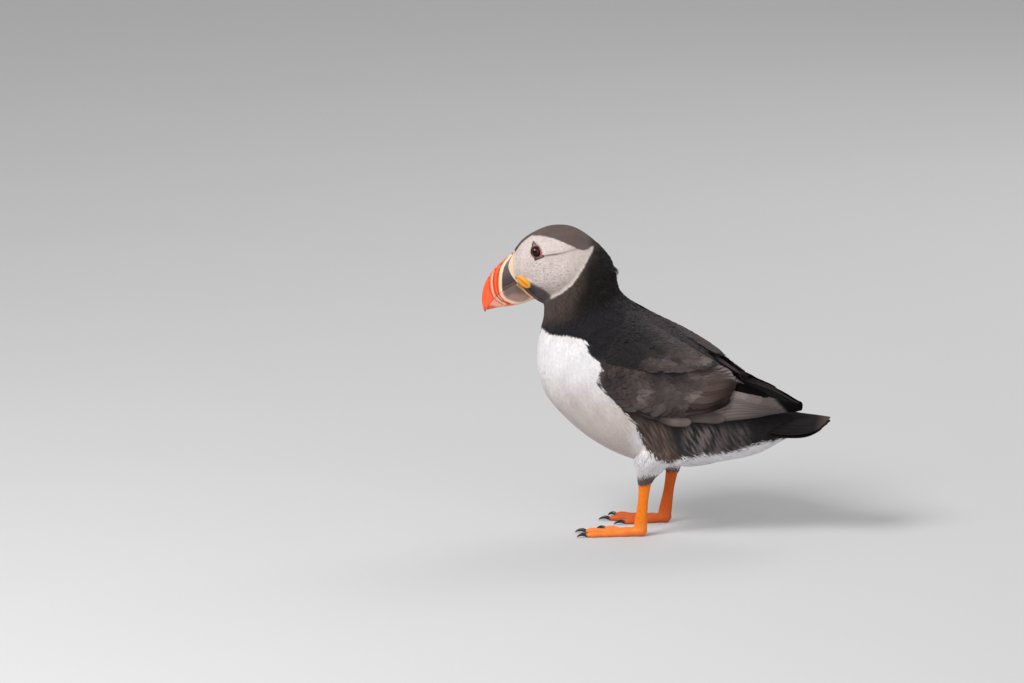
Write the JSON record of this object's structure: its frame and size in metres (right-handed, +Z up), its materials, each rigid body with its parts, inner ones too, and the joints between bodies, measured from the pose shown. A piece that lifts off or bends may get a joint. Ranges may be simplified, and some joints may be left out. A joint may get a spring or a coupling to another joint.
{
  "type": "atlantic puffin",
  "caption": "Life-size still model of a standing Atlantic puffin with folded wings, tall curved bill and flat webbed feet.",
  "frame": {"origin": "on the floor under the middle of the bird's bounding box, between and just behind its feet", "axes": "+X towards the tail, -X the way the bird faces, +Y towards its right side, +Z up"},
  "size_m": [0.2383, 0.0924, 0.2091],
  "materials": {
    "face_plumage": "short dense feathers, matt, pale grey with a darker cap",
    "black_plumage": "close black-brown feathers with a slight sheen",
    "white_plumage": "soft white silky feathers, greyer on the belly",
    "wing_plumage": "firm brownish black feathers with paler edges",
    "bill_horn": "smooth grooved horn, orange-red",
    "bill_base_horn": "smooth horn, grey at its base and orange with pale lines in front",
    "cere": "pale pitted ridge",
    "rosette_skin": "wrinkled yellow-orange skin",
    "eye_plate_horn": "small grey horny plates",
    "eyeball": "wet and glossy, dark with a red rim",
    "leg_skin": "orange scaly skin",
    "claw_horn": "black horn"
  },
  "bodies": {
    "root": {"bill_cere": "cere", "bill_lower": "bill_base_horn", "bill_upper": "bill_horn", "claw_inner_left": "claw_horn", "claw_inner_right": "claw_horn", "claw_middle_left": "claw_horn", "claw_middle_right": "claw_horn", "claw_outer_left": "claw_horn", "claw_outer_right": "claw_horn", "eye_left": "eyeball", "eye_plate_lower_left": "eye_plate_horn", "eye_plate_lower_right": "eye_plate_horn", "eye_plate_upper_left": "eye_plate_horn", "eye_plate_upper_right": "eye_plate_horn", "eye_right": "eyeball", "foot_left": "leg_skin", "foot_right": "leg_skin", "head": "face_plumage", "neck": "black_plumage", "rosette_left": "rosette_skin", "rosette_right": "rosette_skin", "scapulars_left": "black_plumage", "scapulars_right": "black_plumage", "shank_left": "leg_skin", "shank_right": "leg_skin", "tail": "black_plumage", "thigh_left": "white_plumage", "thigh_right": "white_plumage", "trunk": "white_plumage", "wing_coverts_left": "wing_plumage", "wing_coverts_right": "wing_plumage", "wing_flight_left": "wing_plumage", "wing_flight_right": "wing_plumage"}
  },
  "joints": []
}
